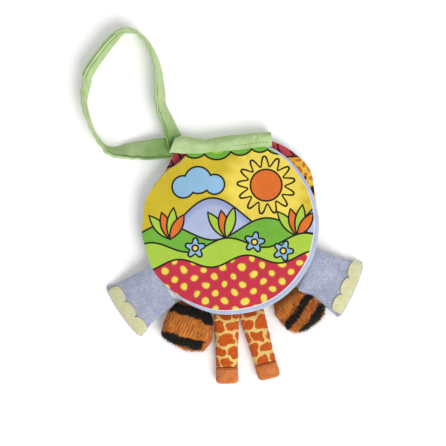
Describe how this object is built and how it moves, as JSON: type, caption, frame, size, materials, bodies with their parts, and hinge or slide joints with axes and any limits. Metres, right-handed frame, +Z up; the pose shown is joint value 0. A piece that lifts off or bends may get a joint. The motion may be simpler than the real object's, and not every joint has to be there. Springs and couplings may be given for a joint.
{
  "type": "crinkle cloth book",
  "caption": "Soft round cloth book with padded crinkle leaves bound along a straight spine, stuffed animal legs round the rim and a strap loop with a hook and loop end.",
  "frame": {"origin": "on the resting plane, under the centre of the round leaves", "axes": "+Z up through the leaves towards the front cover, +Y towards the spine, +X along the spine to the right"},
  "size_m": [0.2327, 0.3119, 0.0223],
  "materials": {
    "binding_cotton": "plain cotton",
    "strap_cotton": "plain cotton",
    "hook_and_loop": "hook and loop tape",
    "cover_print": "printed cotton",
    "cover_lining": "printed cotton",
    "page_front_print": "printed cotton",
    "page_back_print": "printed cotton",
    "back_inside_print": "printed cotton",
    "back_print": "printed cotton",
    "wadding": "polyester wadding",
    "crinkle_film": "clear crinkle film",
    "elephant_plush": "short plush",
    "toenail_felt": "felt",
    "tiger_fur": "long pile plush",
    "giraffe_plush": "printed short plush",
    "hoof_suede": "suede cloth",
    "stuffing": "polyester filling"
  },
  "bodies": {
    "spine": {"spine_binding": "binding_cotton", "cover_spine_flap": "cover_lining", "back_spine_flap": "back_print", "middle_front_panel": "page_front_print", "middle_back_panel": "page_back_print", "middle_wadding": "wadding", "middle_crinkle_film": "crinkle_film"},
    "cover": {"cover_front_panel": "cover_print", "cover_back_panel": "cover_lining", "cover_wadding": "wadding", "cover_crinkle_film": "crinkle_film"},
    "back": {"back_front_panel": "back_inside_print", "back_back_panel": "back_print", "back_wadding": "wadding", "back_crinkle_film": "crinkle_film"},
    "strap": {"strap_lower": "strap_cotton", "strap_upper": "strap_cotton", "loop_pad": "hook_and_loop"},
    "tab": {"strap_tab": "strap_cotton", "hook_pad": "hook_and_loop"},
    "elephant_left": {"elephant_leg_left": "elephant_plush", "elephant_leg_left_stuffing": "stuffing", "elephant_toenails_left": "toenail_felt"},
    "tiger_left": {"tiger_leg_left": "tiger_fur", "tiger_leg_left_stuffing": "stuffing"},
    "giraffe_left": {"giraffe_leg_left": "giraffe_plush", "giraffe_hoof_left": "hoof_suede", "giraffe_leg_left_stuffing": "stuffing"},
    "elephant_right": {"elephant_leg_right": "elephant_plush", "elephant_leg_right_stuffing": "stuffing", "elephant_toenails_right": "toenail_felt"},
    "tiger_right": {"tiger_leg_right": "tiger_fur", "tiger_leg_right_stuffing": "stuffing"},
    "giraffe_right": {"giraffe_leg_right": "giraffe_plush", "giraffe_hoof_right": "hoof_suede", "giraffe_leg_right_stuffing": "stuffing"}
  },
  "joints": [
    {"name": "cover_open", "type": "hinge", "parent": "spine", "child": "cover", "pos_m": [0, 0.0659, 0.0178], "axis": [-1, 0, 0], "range_deg": [0, 170]},
    {"name": "back_open", "type": "hinge", "parent": "spine", "child": "back", "pos_m": [0, 0.0659, 0.0008], "axis": [-1, 0, 0], "range_deg": [-170, 0]},
    {"name": "strap_lift", "type": "hinge", "parent": "spine", "child": "strap", "pos_m": [-0.0482, 0.067, 0.0102], "axis": [-0.4244, -0.9055, 0], "range_deg": [-90, 0]},
    {"name": "tab_peel", "type": "hinge", "parent": "strap", "child": "tab", "pos_m": [-0.08221, 0.17455, 0.00878], "axis": [0.0435, -0.1322, -0.9903], "range_deg": [0, 100]},
    {"name": "elephant_left_flop", "type": "hinge", "parent": "cover", "child": "elephant_left", "pos_m": [-0.06034, -0.0458, 0.0165], "axis": [0.6046, -0.7965, 0], "range_deg": [-110, 0]},
    {"name": "elephant_right_flop", "type": "hinge", "parent": "cover", "child": "elephant_right", "pos_m": [0.06338, -0.04148, 0.0165], "axis": [0.5476, 0.8368, 0], "range_deg": [-110, 0]},
    {"name": "tiger_left_flop", "type": "hinge", "parent": "back", "child": "tiger_left", "pos_m": [-0.03249, -0.06843, 0.0021], "axis": [-0.9033, 0.4289, 0], "range_deg": [-100, 0]},
    {"name": "tiger_right_flop", "type": "hinge", "parent": "back", "child": "tiger_right", "pos_m": [0.04247, -0.06273, 0.0021], "axis": [-0.8616, -0.5075, 0], "range_deg": [-100, 0]},
    {"name": "giraffe_left_flop", "type": "hinge", "parent": "spine", "child": "giraffe_left", "pos_m": [-0.00808, -0.07557, 0.0093], "axis": [-0.9988, 0.0489, 0], "range_deg": [-35, 35]},
    {"name": "giraffe_right_flop", "type": "hinge", "parent": "spine", "child": "giraffe_right", "pos_m": [0.01359, -0.07477, 0.0093], "axis": [-0.9839, -0.1788, 0], "range_deg": [-35, 35]}
  ]
}
